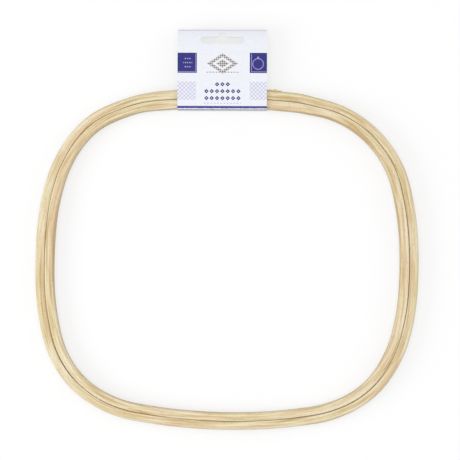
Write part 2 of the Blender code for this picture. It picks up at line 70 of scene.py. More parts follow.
# The band is bent by hand, so it leaves its arcs in long soft bulges and flats. In millimetres:
# where the middle of each is along the band from the split, half its length, and its height.
BULGES = [[size * MM for size in bulge] for bulge in (
    (60, 22, 0.45), (84, 22, -0.5), (148, 42, -0.95), (215, 45, -0.5), (270, 50, 0.35),
    (318, 45, 0.85), (430, 90, -0.3), (560, 42, 0.85), (620, 48, 1.0), (762, 80, -0.7),
    (834, 18, 0.5))]

# How far along the band from the split the sanding of the hand faces starts, and is full.
SANDING_START = 44 * MM
SANDING_FULL = 70 * MM

# Glued joint of the inner ring: where it crosses the strip's middle, and its slant.
SCARF_PLACE = 19 * MM
SCARF_SLANT = 4.0

# Rivets, tension screw and nut. A rivet's seat is on its strap, its foot inside the ring.
FIRST_RIVET_X = 14.5 * MM
LAST_RIVET_X = 33.5 * MM
RIVET_SEAT = 0.78 * MM
RIVET_FOOT = 0.15 * MM - RING_THICKNESS - RIVET_SEAT
RIVET_COLUMNS = 28
THREAD_PITCH = 0.7 * MM
SCREW_LENGTH = 23 * MM
HEAD_LENGTH = 7.5 * MM
FLUTES = 24

# The CAD leaves 0.3 mm between pieces that touch. The brass pieces close up by most of it.
CLOSE_UP = 0.25 * MM

# Hang card: one blank, folded round the band.
CARD_WIDTH = 65.4 * MM
CARD_LENGTH = 59 * MM
CARD_THICKNESS = 0.4 * MM
CARD_SHIFT = -5.5 * MM
CARD_CORNER_RADIUS = 1.2 * MM
CARD_TRIM = 0.05 * MM
FOLD_RADIUS = 0.7 * MM
CREASE_RADIUS = 0.6 * MM
DROOP_LENGTH = 16 * MM
DROOP = 1.5 * MM
BACK_RISE_START = 29 * MM
BACK_RISE_LENGTH = 25 * MM
TAPE_THICKNESS = 0.25 * MM
TAPE_LENGTH = 54 * MM
TAPE_WIDTH = 1.6 * MM
TAPE_INSET = 0.5 * MM
SLOT_LENGTH = 32 * MM
SLOT_HEIGHT = 4.8 * MM
SLOT_DROP = 8.2 * MM
BUMP_RADIUS = 3.4 * MM
BUMP_RISE = 3 * MM

# Areas of the print, and of painted light at the fold and painted shade at the hanging edge, each as two
# corners in millimetres from the card's left edge and its fold.
SQUARES = [((0.0, 26.7), (14.1, 41.5)), ((52.8, 26.7), (65.5, 41.6))]
SQUARE_LINES = [((0.0, 27.3), (13.5, 27.7)), ((13.1, 27.3), (13.5, 40.9)),
                ((53.9, 27.4), (65.5, 27.8)), ((53.9, 27.4), (54.3, 41.0))]
DASH_ROWS = [((5.2, 35.8), (9.6, 38.8)), ((4.1, 32.7), (10.7, 35.7)), ((5.2, 29.7), (9.6, 32.7))]
RING_KNOB = [((58.2, 37.5), (59.6, 38.7))]
RING_MIDDLE = (58.9, 33.4, 0.0)
DIAMOND_ROWS = [((26.9, 16.4), (38.8, 20.6)), ((19.1, 11.3), (46.7, 15.5)),
                ((19.1, 6.1), (46.7, 10.4))]
FAINT_ROW = [((19.5, 4.2), (46.5, 4.8))]
LATTICES = [((0.0, 6.9), (13.4, 20.3)), ((52.9, 6.9), (65.5, 20.3))]
STITCHED_LINE = [((21.0, 27.0), (44.8, 27.5))]
LOZENGE_MIDDLE = (32.9, 33.6)
FOLD_STRIPE = [((-1.0, -4.5), (66.5, 2.45))]
FOLD_HIGHLIGHT = [((-1.0, -0.4), (66.5, 2.0))]
EDGE_SHADE_LINE = [((-1.0, 57.8), (66.5, 58.45))]

ring_low, ring_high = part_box("outer_hoop")
HOOP_CENTRE = Vector((0.0, ring_low.y + FRAME_DEPTH / 2, (ring_low.z + ring_high.z) / 2))
CARD_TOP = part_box("card_front")[1].z

scene = bpy.context.scene


def placed(name, data):
    """A new object with this data, in the scene."""
    obj = bpy.data.objects.new(name, data)
    scene.collection.objects.link(obj)
    return obj


def plain_mesh(obj):
    """An object's shape as a plain mesh, with its modifiers applied."""
    graph = bpy.context.evaluated_depsgraph_get()
    return bpy.data.meshes.new_from_object(obj.evaluated_get(graph), depsgraph=graph)


def linear(colour):
    """An sRGB hex colour as linear RGBA."""
    values = []
    for start in (1, 3, 5):
        share = int(colour[start:start + 2], 16) / 255
        values.append(share / 12.92 if share <= 0.04045 else ((share + 0.055) / 1.055) ** 2.4)
    return (*values, 1.0)


def add_node(tree, kind, *values, named=None, stops=(), **settings):
    """Adds a node with its settings, links or sets its inputs in order or by name, and gives
    a colour ramp its stops."""
    node = tree.nodes.new(kind)
    for name, value in settings.items():
        setattr(node, name, value)
    for place, (position, colour) in enumerate(stops):
        if place > 1:
            node.color_ramp.elements.new(position)
        node.color_ramp.elements[place].position = position
        node.color_ramp.elements[place].color = linear(colour)
    for key, value in [*enumerate(values), *(named or {}).items()]:
        if isinstance(value, bpy.types.Node):
            value = value.outputs[0]
        if isinstance(value, bpy.types.NodeSocket):
            tree.links.new(value, node.inputs[key])
        elif value is not None:
            node.inputs[key].default_value = value
    return node


def new_material(name):
    """A new material, and the function that adds its nodes."""
    made = bpy.data.materials.new(name)
    made.use_nodes = True
    made.node_tree.nodes.clear()
    return made, partial(add_node, made.node_tree)


# Materials


def bent_beech(name, seed, light, middle, dark, seam_side, scarf=None):
    """Steamed and bent beech, sanded and bare: cream and tan streaks along the strip, some
    pinkish or faintly green, fine fibres and a few short brown flecks, with a soft low gloss.
    The outward side of the strip is painted paler, a painted highlight on its rounded edge, and
    the edge on the seam side, -1 or 1, is painted darker in places, painted shade where the
    rings meet. A scarf is where a closed ring's glued joint crosses the strip's middle, and the
    ring's length."""
    made, add = new_material(name)
    strip = add("ShaderNodeAttribute", attribute_name="strip").outputs["Vector"]
    axes = add("ShaderNodeSeparateXYZ", strip).outputs
    moved = add("ShaderNodeVectorMath", strip, (seed, seed * 0.37, seed * 0.71))
    if scarf:
        # Each side of the slanting joint keeps the grain of its own end of the strip.
        joint = add("ShaderNodeMath", axes[1], SCARF_SLANT, scarf[0], operation="MULTIPLY_ADD")
        before = add("ShaderNodeMath", axes[0], joint, operation="LESS_THAN")
        other_end = add("ShaderNodeMath", before, scarf[1], operation="MULTIPLY")
        moved = add("ShaderNodeVectorMath", moved, add("ShaderNodeCombineXYZ", other_end, 0.0, 0.0))
    # The streaks wander by about a millimetre across the band.
    wander = add("ShaderNodeTexNoise", named={
        "Vector": add("ShaderNodeVectorMath", moved, (14.0, 60.0, 60.0), operation="MULTIPLY"),
        "Scale": 1.0, "Detail": 1.0})
    drift = add("ShaderNodeMath", wander.outputs[0], 0.0036, -0.0018, operation="MULTIPLY_ADD")
    drifted = add("ShaderNodeVectorMath", moved, add("ShaderNodeCombineXYZ", 0.0, drift, drift))
    # Each pattern is noise drawn out along the strip: what it follows, repeats per metre and detail.
    patterns = []
    for source, per_metre, detail in (
            # Growth layers 1 to 2 mm wide show as streaks 15 to 45 mm long.
            (drifted, (32.0, 640.0, 420.0), 2.0),
            # Fibres 0.2 mm wide and 6 mm long.
            (drifted, (160.0, 4200.0, 4200.0), 2.0),
            # Patches of tone 60 to 120 mm long.
            (moved, (12.0, 90.0, 90.0), 1.5),
            # Flecks 0.3 mm wide and 2 to 3 mm long.
            (moved, (380.0, 3000.0, 3000.0), 0.0),
            # Pinkish and greenish streaks 2 to 3 mm wide and about 80 mm long.
            (drifted, (13.0, 480.0, 300.0), 1.0)):
        stretched = add("ShaderNodeVectorMath", source, per_metre, operation="MULTIPLY")
        patterns.append(add("ShaderNodeTexNoise", named={
            "Vector": stretched, "Scale": 1.0, "Detail": detail}).outputs[0])
    streaks, fibres, patches, flecks, blush = patterns
    # Painted highlight: the outward side of the strip is painted up to a tenth paler, where its rounded
    # edge catches the light.
    edge = add("ShaderNodeMapRange", axes[1], 0.0, RING_THICKNESS / 2, 0.0, 0.10,
               interpolation_type="SMOOTHSTEP")
    ground = add("ShaderNodeMath", patches, 0.30, edge, operation="MULTIPLY_ADD")
    tone = add("ShaderNodeMath", streaks, 1.15, ground, operation="MULTIPLY_ADD")
    base = add("ShaderNodeValToRGB", tone, stops=[(0.55, dark), (0.73, middle), (0.90, light)])
    grain = add("ShaderNodeMapRange", fibres, 0.35, 0.62, 0.94, 1.0)
    wood = add("ShaderNodeMix", data_type="RGBA", blend_type="MULTIPLY", named={
        0: 1.0, 6: base, 7: add("ShaderNodeCombineColor", grain, grain, grain)}).outputs[2]
    # Painted shade darkens the last 0.6 mm at the seam between the two rings, more in some places.
    to_seam = add("ShaderNodeMath", axes[1], seam_side, operation="MULTIPLY")
    rim = add("ShaderNodeMapRange", to_seam, RING_THICKNESS / 2 - 0.6 * MM, RING_THICKNESS / 2)
    seam_shade_patches = add("ShaderNodeMapRange", patches, 0.46, 0.62, 0.0, 0.70)
    # Pinkish and greenish streaks, flecks and the painted seam shade, each over what lies below it.
    layers = [
        (add("ShaderNodeMapRange", blush, 0.52, 0.68, 0.0, 0.50), "#DDB991"),
        (add("ShaderNodeMapRange", blush, 0.46, 0.30, 0.0, 0.60), "#DFD29A"),
        (add("ShaderNodeMapRange", flecks, 0.70, 0.78, 0.0, 0.55), "#9A7B55"),
        (add("ShaderNodeMath", rim, seam_shade_patches, operation="MULTIPLY"), "#74573A")]
    if scarf:
        # The glue line shows 0.4 mm to each side of the joint.
        glue = add("ShaderNodeMath", axes[0], joint, 0.4 * MM, operation="COMPARE")
        layers.append((add("ShaderNodeMath", glue, 0.65, operation="MULTIPLY"), "#8C6A42"))
    for share, colour in layers:
        wood = add("ShaderNodeMix", data_type="RGBA", named={
            0: share, 6: wood, 7: linear(colour)}).outputs[2]
    relief = add("ShaderNodeMath", fibres, 0.6,
                 add("ShaderNodeMath", streaks, 0.4, operation="MULTIPLY"), operation="MULTIPLY_ADD")
    bump = add("ShaderNodeBump", named={"Strength": 0.35, "Distance": 0.12 * MM, "Height": relief})
    gloss = add("ShaderNodeMapRange", streaks, 0.3, 0.7, 0.50, 0.64)
    add("ShaderNodeOutputMaterial", add("ShaderNodeBsdfPrincipled", named={
        "Base Color": wood, "Roughness": gloss, "IOR": 1.5, "Normal": bump}))
    return made


def rolled_brass(name, light, dark, roughness, grain):
    """Bare brass, a little dulled by handling: a warm metal whose brightness comes and goes
    in soft cloudy patches over fine straight rolling lines."""
    made, add = new_material(name)
    place = add("ShaderNodeTexCoord").outputs["Object"]
    # Patches of tarnish 2 to 4 mm across.
    clouds = add("ShaderNodeTexNoise", named={"Vector": place, "Scale": 380.0, "Detail": 3.0})
    # Rolling or turning lines 0.15 to 0.4 mm apart, drawn coarser than real ones to show.
    lines = add("ShaderNodeTexNoise", named={
        "Vector": add("ShaderNodeVectorMath", place, grain, operation="MULTIPLY"),
        "Scale": 1.0, "Detail": 2.0})
    share = add("ShaderNodeMath", lines, 0.35,
                add("ShaderNodeMath", clouds, 0.65, operation="MULTIPLY"), operation="MULTIPLY_ADD")
    colour = add("ShaderNodeValToRGB", share, stops=[(0.40, dark), (0.60, light)])
    dull = add("ShaderNodeMapRange", share, 0.35, 0.65, roughness + 0.14, roughness)
    bump = add("ShaderNodeBump", named={"Strength": 0.25, "Distance": 0.04 * MM, "Height": lines})
    add("ShaderNodeOutputMaterial", add("ShaderNodeBsdfPrincipled", named={
        "Base Color": colour, "Metallic": 1.0, "Roughness": dull, "Normal": bump}))
    return made


def card_stock(add, colour):
    """Coated card: a smooth cool white with a faint felt of fibres and a satin gloss."""
    place = add("ShaderNodeTexCoord").outputs["Object"]
    # Fibre felt 0.3 mm coarse under the coating, and a slow ripple of the board 12 mm long.
    felt = add("ShaderNodeTexNoise", named={"Vector": place, "Scale": 3200.0, "Detail": 2.0})
    ripple = add("ShaderNodeTexNoise", named={"Vector": place, "Scale": 80.0, "Detail": 1.0})
    relief = add("ShaderNodeMath", felt, 0.04, ripple, operation="MULTIPLY_ADD")
    bump = add("ShaderNodeBump", named={"Strength": 0.5, "Distance": 0.25 * MM, "Height": relief})
    gloss = add("ShaderNodeMapRange", felt, 0.3, 0.7, 0.36, 0.46)
    add("ShaderNodeOutputMaterial", add("ShaderNodeBsdfPrincipled", named={
        "Base Color": colour, "Roughness": gloss, "IOR": 1.42, "Normal": bump}))


def white_card(name):
    """Plain side and cut edges of the coated card: the same cool white, faintly clouded."""
    made, add = new_material(name)
    place = add("ShaderNodeTexCoord").outputs["Object"]
    cloud = add("ShaderNodeTexNoise", named={"Vector": place, "Scale": 120.0, "Detail": 2.0})
    white = add("ShaderNodeValToRGB", cloud, stops=[(0.35, "#EDEEF4"), (0.65, "#F4F5FA")])
    card_stock(add, white)
    return made


def clear_tape(name):
    """Double-sided tape: a thin milky film, slightly yellow with glue and glossy."""
    made, add = new_material(name)
    place = add("ShaderNodeTexCoord").outputs["Object"]
    cloud = add("ShaderNodeTexNoise", named={"Vector": place, "Scale": 500.0, "Detail": 2.0})
    film = add("ShaderNodeValToRGB", cloud, stops=[(0.4, "#DCD8C8"), (0.6, "#EAE7DA")])
    add("ShaderNodeOutputMaterial", add("ShaderNodeBsdfPrincipled", named={
        "Base Color": film, "Roughness": 0.28, "IOR": 1.47, "Coat Weight": 0.4,
        "Coat Roughness": 0.15}))
    return made


def printed_card(name):
    """Printed side of the hang card: flat violet blue and lavender inks on coated white."""
    made, add = new_material(name)
    sheet = add("ShaderNodeUVMap", uv_map="print")
    place = add("ShaderNodeSeparateXYZ", sheet)

    def joined(operation, *masks):
        """Masks put together: MAXIMUM keeps what any of them holds, MULTIPLY what all hold."""
        total = masks[0]
        for mask in masks[1:]:
            total = add("ShaderNodeMath", total, mask, operation=operation)
        return total

    def inside(areas):
        """1 inside any of the areas, else 0."""
        masks = []
        for low, high in areas:
            middle = tuple(-(a + b) / 2 for a, b in zip(low, high))
            half = tuple((a - b) / 2 for a, b in zip(low, high))
            centred = add("ShaderNodeVectorMath", sheet, (*middle, 0.0))
            away = add("ShaderNodeVectorMath", centred, operation="ABSOLUTE")
            past = add("ShaderNodeSeparateXYZ", add("ShaderNodeVectorMath", away, (*half, 0.0))).outputs
            edge = add("ShaderNodeMath", past[0], past[1], operation="MAXIMUM")
            masks.append(add("ShaderNodeMath", edge, 0.0, operation="LESS_THAN"))
        return joined("MAXIMUM", *masks)

    def to_nearest(source, pitch, first):
        """Distance to the middle of the nearest repeat, in millimetres."""
        moved = add("ShaderNodeMath", source, first, operation="SUBTRACT")
        wrapped = add("ShaderNodeMath", moved, pitch / 2, -pitch / 2, operation="WRAP")
        return add("ShaderNodeMath", wrapped, 0.0, operation="ABSOLUTE")

    def stripes(source, pitch, first, half_width):
        """1 on stripes that repeat at this pitch, else 0."""
        away = to_nearest(source, pitch, first)
        return add("ShaderNodeMath", away, half_width, operation="LESS_THAN")

    across, up = place.outputs[0], place.outputs[1]
    middle_x, middle_y = LOZENGE_MIDDLE

    # Three rows of tiny dashes in the left square, and a ring with a knob in the right one.
    dashes = joined("MULTIPLY", stripes(across, 1.65, 7.4, 0.5), stripes(up, 3.0, 34.2, 0.42),
                    inside(DASH_ROWS))
    from_ring = add("ShaderNodeVectorMath", sheet, RING_MIDDLE, operation="DISTANCE")
    ring = add("ShaderNodeMath", from_ring.outputs["Value"], 3.9, 0.26, operation="COMPARE")
    squares = inside(SQUARES)
    pale = joined("MULTIPLY", squares, joined(
        "MAXIMUM", inside(SQUARE_LINES), dashes, ring, inside(RING_KNOB)))

    # Three rows of small hollow diamonds in the middle.
    diamond = add("ShaderNodeMath", to_nearest(across, 3.9, middle_x), to_nearest(up, 5.1, 13.3))
    diamonds = add("ShaderNodeMath", diamond, 1.65, operation="LESS_THAN")
    outlined = add("ShaderNodeMath", diamond, 0.5, operation="GREATER_THAN")
    blue = joined("MAXIMUM", squares, joined("MULTIPLY", diamonds, outlined, inside(DIAMOND_ROWS)))

    # Lavender lattice on both sides, and a row of faint dashes under the diamonds.
    rising = add("ShaderNodeMath", across, up)
    falling = add("ShaderNodeMath", across, up, operation="SUBTRACT")
    lattice = joined("MAXIMUM", stripes(rising, 2.9, 0.4, 0.25), stripes(falling, 2.9, 0.9, 0.25))
    faint = joined("MULTIPLY", inside(FAINT_ROW), stripes(across, 2.4, 20.0, 0.6))
    lavender = joined("MAXIMUM", joined("MULTIPLY", lattice, inside(LATTICES)), faint)

    # Cross-stitch lozenge in grey brown with a running-stitch line under it.
    stitches = joined("MULTIPLY", stripes(across, 1.5, middle_x, 0.6), stripes(up, 1.5, middle_y, 0.6))
    from_middle = add("ShaderNodeVectorMath", sheet, (middle_x, middle_y, 0.0), operation="SUBTRACT")
    away = add("ShaderNodeSeparateXYZ",
               add("ShaderNodeVectorMath", from_middle, operation="ABSOLUTE")).outputs
    spread = add("ShaderNodeMath", away[1], 1.5, away[0], operation="MULTIPLY_ADD")
    lozenge = joined("MAXIMUM", add("ShaderNodeMath", spread, 9.3, 1.9, operation="COMPARE"),
                     add("ShaderNodeMath", spread, 4.6, operation="LESS_THAN"))
    running = joined("MULTIPLY", inside(STITCHED_LINE), stripes(across, 2.2, middle_x, 0.7))
    brown = joined("MAXIMUM", joined("MULTIPLY", stitches, lozenge), running)

    # The inks lie a little unevenly.
    cloud = add("ShaderNodeTexNoise", named={"Vector": sheet, "Scale": 0.35, "Detail": 3.0})
    paper = add("ShaderNodeValToRGB", cloud, stops=[(0.35, "#EFF1FA"), (0.65, "#F3F5FB")])

    # Painted shade greys the last 5 mm, where the front leaf droops away from the light. A thin line
    # of painted shade, the card's cut edge in shadow, lies just inside the hanging edge and is laid on
    # with the inks.
    droop_shade = add("ShaderNodeMapRange", up, 53.5, 58.0, 0.0, 0.6)

    # Painted highlight along the fold's rounded edge: pale patches over the stripe, up to a ragged edge.
    fold_light_noise = add("ShaderNodeTexNoise", named={"Vector": sheet, "Scale": 0.6, "Detail": 2.0})
    fold_light_top = add("ShaderNodeMath", fold_light_noise, 0.8, 0.3, operation="MULTIPLY_ADD")
    fold_light = joined("MULTIPLY", inside(FOLD_HIGHLIGHT),
                     add("ShaderNodeMath", up, fold_light_top, operation="LESS_THAN"))
    violet = add("ShaderNodeValToRGB", cloud, stops=[(0.30, "#110B70"), (0.70, "#181279")])
    colour = paper
    for mask, ink in (
            (droop_shade, linear("#EAEAF1")), (inside(EDGE_SHADE_LINE), linear("#D3D3DC")),
            (lavender, linear("#B9B6DC")), (brown, linear("#7C705A")), (blue, violet),
            (inside(FOLD_STRIPE), linear("#413A8C")), (fold_light, linear("#F6F6FA")),
            (pale, linear("#A7A2D2"))):
        colour = add("ShaderNodeMix", data_type="RGBA", named={0: mask, 6: colour, 7: ink}).outputs[2]
    card_stock(add, colour)
    return made


# Rings


def strayed(distance):
    """How far the hand-bent band lies outside its arcs, this far along it from the split."""
    out = 0.0
    for middle, half_length, rise in BULGES:
        share = min(abs(distance - middle) / half_length, 1.0)
        out += rise * (1 + math.cos(math.pi * share)) / 2
    return out


def ring_path(name, half_split):
    """The frame's outline as a line of points, counterclockwise from the split. A path with
    no split ends on its first point."""
    side = Vector((FRAME_WIDTH / 2 - SIDE_RADIUS, 0))
    end = Vector((0, FRAME_DEPTH / 2 - END_RADIUS))
    meetings = intersect_sphere_sphere_2d(
        side, SIDE_RADIUS - CORNER_RADIUS, end, END_RADIUS - CORNER_RADIUS)
    corner = max(meetings, key=lambda point: point.x + point.y)
    low = math.atan2(corner.y, corner.x - side.x)
    high = math.atan2(corner.y - end.y, corner.x)
    split = math.asin(half_split / END_RADIUS)
    half = math.pi
    arcs = [
        (0, end.y, END_RADIUS), (-corner.x, corner.y, CORNER_RADIUS),
        (-side.x, 0, SIDE_RADIUS), (-corner.x, -corner.y, CORNER_RADIUS),
        (0, -end.y, END_RADIUS), (corner.x, -corner.y, CORNER_RADIUS),
        (side.x, 0, SIDE_RADIUS), (corner.x, corner.y, CORNER_RADIUS), (0, end.y, END_RADIUS)]
    turns = [half / 2 + split, half - high, half - low, half + low, half + high,
             2 * half - high, 2 * half - low, 2 * half + low, 2 * half + high, 2.5 * half - split]
    points = []
    along = half_split
    # Each arc starts on the last one's end, and only the last keeps its own end.
    for (x, y, radius), start, finish in zip(arcs, turns, turns[1:]):
        steps = math.ceil(radius * (finish - start) / PATH_STEP)
        for step in range(steps + (finish == turns[-1])):
            angle = start + (finish - start) * step / steps
            reach = radius + strayed(along + radius * (angle - start))
            points.append(HOOP_CENTRE + Vector(
                (x + reach * math.cos(angle), y + reach * math.sin(angle), 0)))
        along += radius * (finish - start)
    mesh = bpy.data.meshes.new(name)
    mesh.from_pydata(points, [(i, i + 1) for i in range(len(points) - 1)], [])
    return placed(name, mesh)


def piece_tree(name, inputs):
    """A Geometry Nodes tree from a geometry, these named inputs and a material to a geometry,
    with the function that adds its nodes, and its inputs' sockets."""
    tree = bpy.data.node_groups.new(name, "GeometryNodeTree")
    kinds = {float: "NodeSocketFloat", int: "NodeSocketInt", bool: "NodeSocketBool"}
    sockets = tree.interface
    sockets.new_socket("Geometry", in_out="INPUT", socket_type="NodeSocketGeometry")
    for key, value in inputs.items():
        socket = sockets.new_socket(key, in_out="INPUT", socket_type=kinds[type(value)])
        socket.default_value = value
    sockets.new_socket("Material", in_out="INPUT", socket_type="NodeSocketMaterial")
    sockets.new_socket("Geometry", in_out="OUTPUT", socket_type="NodeSocketGeometry")
    add = partial(add_node, tree)
    return tree, add, add("NodeGroupInput").outputs


def strip_tree():
    """Geometry Nodes: a path becomes a bent wooden strip, with its own along, across and
    height stored at each face corner, slightly uneven and looser at the corners."""
    tree, add, given = piece_tree("bent_strip", {
        "Inset": 0.0, "Thickness": RING_THICKNESS, "Height": RING_HEIGHT,
        "Outside Edge Radius": HAND_EDGE_RADIUS, "Inside Edge Radius": SEAM_EDGE_RADIUS,
        "Unevenness": 0.06 * MM, "Seam Side": 1.0, "Seam Closing": 0.08 * MM,
        "Corner Play": 0.09 * MM, "Hand Face Wear": 0.45 * MM, "Seed": 0.0, "Close": False})

    curve = add("GeometryNodeMeshToCurve", given["Geometry"])
    upright = add("GeometryNodeSetCurveNormal", curve, mode="Z_UP")
    tangent = add("GeometryNodeInputTangent")
    outwards = add("ShaderNodeVectorMath", tangent, (0, 0, 1), operation="CROSS_PRODUCT")
    inset = add("ShaderNodeMath", given["Inset"], -1.0, operation="MULTIPLY")
    inwards = add("ShaderNodeVectorMath", outwards, operation="SCALE", named={"Scale": inset})
    path = add("GeometryNodeSetPosition", upright, named={"Offset": inwards})
    along = add("GeometryNodeSplineParameter").outputs["Length"]
    # Away from the straps the hand faces are sanded thinner.
    total = add("GeometryNodeSplineLength").outputs["Length"]
    to_end = add("ShaderNodeMath", total, along, operation="SUBTRACT")
    from_split = add("ShaderNodeMath", along, to_end, operation="MINIMUM")
    wear = add("ShaderNodeMapRange", from_split, SANDING_START, SANDING_FULL, 0.0,
               given["Hand Face Wear"], interpolation_type="SMOOTHSTEP")
    for key, kind, value in (
            ("along", "FLOAT", along), ("facing", "FLOAT_VECTOR", outwards), ("wear", "FLOAT", wear)):
        path = add("GeometryNodeStoreNamedAttribute", path, data_type=kind, domain="POINT",
                   named={"Name": key, "Value": value})

    box = add("GeometryNodeCurvePrimitiveQuadrilateral", given["Thickness"], given["Height"])
    spot = add("ShaderNodeSeparateXYZ", add("GeometryNodeInputPosition"))
    is_outside = add("FunctionNodeCompare", spot.outputs[0], 0.0, operation="GREATER_THAN")
    radius = add("GeometryNodeSwitch", is_outside, given["Inside Edge Radius"],
                 given["Outside Edge Radius"], input_type="FLOAT")
    eased = add("GeometryNodeFilletCurve", box, mode="POLY", named={"Count": 5, "Radius": radius})
    across = add("GeometryNodeStoreNamedAttribute", eased, data_type="FLOAT_VECTOR",
                 domain="POINT", named={"Name": "section", "Value": add("GeometryNodeInputPosition")})

    swept = add("GeometryNodeCurveToMesh", path, across, named={"Fill Caps": True})
    length = add("GeometryNodeInputNamedAttribute", "along", data_type="FLOAT")
    section = add("ShaderNodeSeparateXYZ",
                  add("GeometryNodeInputNamedAttribute", "section", data_type="FLOAT_VECTOR"))
    strip = add("ShaderNodeCombineXYZ", length, section.outputs[0], section.outputs[1])
    mapped = add("GeometryNodeStoreNamedAttribute", swept, data_type="FLOAT_VECTOR",
                 domain="CORNER", named={"Name": "strip", "Value": strip})

    # The hand-worked faces are uneven, in waves about 45 mm long. The seam opens where the strip
    # bends hardest: reach is 1 at the middle of each side and more towards the corners.
    place = add("GeometryNodeInputPosition")
    spread = add("ShaderNodeTexNoise", noise_dimensions="4D", named={
        "Vector": place, "W": given["Seed"], "Scale": 22.0, "Detail": 1.0})
    wave = add("ShaderNodeMath", spread.outputs[0], 0.5, operation="SUBTRACT")
    uneven = add("ShaderNodeMath", wave, given["Unevenness"], operation="MULTIPLY")
    from_side = add("ShaderNodeMath", section.outputs[0], given["Seam Side"], operation="MULTIPLY")
    on_seam = add("FunctionNodeCompare", from_side, 0.0, operation="GREATER_THAN")
    shape = add("ShaderNodeVectorMath", place, tuple(-c for c in HOOP_CENTRE))
    span = add("ShaderNodeVectorMath", shape,
               (2 / FRAME_WIDTH, 2 / FRAME_DEPTH, 0.0), operation="MULTIPLY")
    reach = add("ShaderNodeVectorMath", span, operation="LENGTH")
    closing = add("ShaderNodeMath", given["Seam Closing"], -1.0, operation="MULTIPLY")
    loose = add("ShaderNodeMath", wave, 0.35, reach.outputs["Value"], operation="MULTIPLY_ADD")
    play = add("ShaderNodeMapRange", loose, 1.03, 1.12, closing, given["Corner Play"])
    # The two ends take more of the sanding than the sides.
    end_share = add("ShaderNodeMath", add("ShaderNodeSeparateXYZ", span).outputs[1], 0.0,
                    operation="ABSOLUTE")
    sanding = add("ShaderNodeMapRange", end_share, 0.3, 0.9, 0.25, 1.35,
                  interpolation_type="SMOOTHSTEP")
    wear_here = add("ShaderNodeMath", sanding,
                    add("GeometryNodeInputNamedAttribute", "wear", data_type="FLOAT"),
                    operation="MULTIPLY")
    drawn_in = add("GeometryNodeSwitch", on_seam, wear_here,
                   add("ShaderNodeMath", play, -1.0, operation="MULTIPLY"), input_type="FLOAT")
    held = add("ShaderNodeMath", drawn_in, given["Seam Side"], operation="MULTIPLY")
    shift = add("ShaderNodeMath", uneven, held)
    direction = add("GeometryNodeInputNamedAttribute", "facing", data_type="FLOAT_VECTOR")
    pushed = add("ShaderNodeVectorMath", direction, operation="SCALE", named={"Scale": shift})
    worked = add("GeometryNodeSetPosition", mapped, named={"Offset": pushed})

    closed = add("GeometryNodeMergeByDistance", worked, named={"Distance": 1e-6})
    chosen = add("GeometryNodeSwitch", given["Close"], worked, closed, input_type="GEOMETRY")
    real = add("GeometryNodeRealizeInstances", chosen)
    dressed = add("GeometryNodeSetMaterial", real, named={"Material": given["Material"]})
    add("NodeGroupOutput", dressed)
    return tree


def grown(base, tree, inputs, name):
    """The plain mesh that a Geometry Nodes tree makes from an object, in place of it."""
    modifier = base.modifiers.new("tree", "NODES")
    modifier.node_group = tree
    for item in tree.interface.items_tree:
        if item.item_type == "SOCKET" and item.in_out == "INPUT" and item.name in inputs:
            modifier[item.identifier] = inputs[item.name]
    mesh = plain_mesh(base)
    mesh.name = name
    bpy.data.objects.remove(base)
    return placed(name, mesh)


def baked(piece):
    """Applies a piece's modifiers."""
    mesh = plain_mesh(piece)
    piece.modifiers.clear()
    piece.data = mesh
    return piece


def cut_out(piece, cutter, name):
    """Cuts one object's shape out of a piece, and removes the cutter."""
    cut = piece.modifiers.new(name, "BOOLEAN")
    cut.operation = "DIFFERENCE"
    cut.solver = "EXACT"
    cut.object = cutter
    baked(piece)
    bpy.data.objects.remove(cutter)


def settle(piece):
    """Merges doubles, turns faces outwards and smooths all but the sharp edges."""
    work = bmesh.new()
    work.from_mesh(piece.data)
    bmesh.ops.remove_doubles(work, verts=work.verts, dist=1e-7)
    bmesh.ops.recalc_face_normals(work, faces=work.faces)
    work.to_mesh(piece.data)
    work.free()
    piece.data.polygons.foreach_set("use_smooth", [True] * len(piece.data.polygons))
    piece.data.set_sharp_from_angle(angle=math.radians(35))


bent_strip = strip_tree()
outer_beech = bent_beech("pale_beech_strip", 3.1, "#F4E9C9", "#E4CFA4", "#C8AA76", -1.0)
inner_path = ring_path("inner_path", 0.0)
inner_inset = BAND - RING_THICKNESS / 2
corners = [vertex.co for vertex in inner_path.data.vertices]
inner_length = sum((b - a).length for a, b in zip(corners, corners[1:])) - 2 * math.pi * inner_inset
inner_beech = bent_beech(
    "steamed_beech_strip", 7.7, "#F5EACB", "#E8D4AB", "#CCAE7C", 1.0, scarf=(SCARF_PLACE, inner_length))

outer_ring = grown(ring_path("outer_path", SPLIT_WIDTH / 2), bent_strip, {
    "Inset": RING_THICKNESS / 2, "Seam Side": -1.0, "Seed": 4.0,
    "Outside Edge Radius": HAND_EDGE_RADIUS, "Inside Edge Radius": SEAM_EDGE_RADIUS,
    "Material": outer_beech}, "outer_ring")
inner_ring = grown(inner_path, bent_strip, {
    "Inset": inner_inset, "Seam Side": 1.0, "Seed": 9.0, "Close": True,
    "Outside Edge Radius": SEAM_EDGE_RADIUS, "Inside Edge Radius": HAND_EDGE_RADIUS,
    "Material": inner_beech}, "inner_ring")


# Hang card


def end_arc_point(x, inset):
    """Point of the far end arc at this X, inwards from the outline by the inset."""
    radius = END_RADIUS - inset
    centre_y = HOOP_CENTRE.y + FRAME_DEPTH / 2 - END_RADIUS
    return Vector((x, centre_y + math.sqrt(radius ** 2 - x ** 2), 0))


def card_place():
    """Where the card's fold lies: against the inner wall of the band."""
    left = end_arc_point(CARD_SHIFT - CARD_WIDTH / 2, BAND)
    right = end_arc_point(CARD_SHIFT + CARD_WIDTH / 2, BAND)
    turn = math.atan2(right.y - left.y, right.x - left.x)
    inwards = Vector((math.sin(turn), -math.cos(turn), 0))
    fold = (left + right) / 2 + (RING_GAP + CARD_THICKNESS) * inwards
    return Matrix.Translation(fold) @ Matrix.Rotation(turn, 4, "Z")


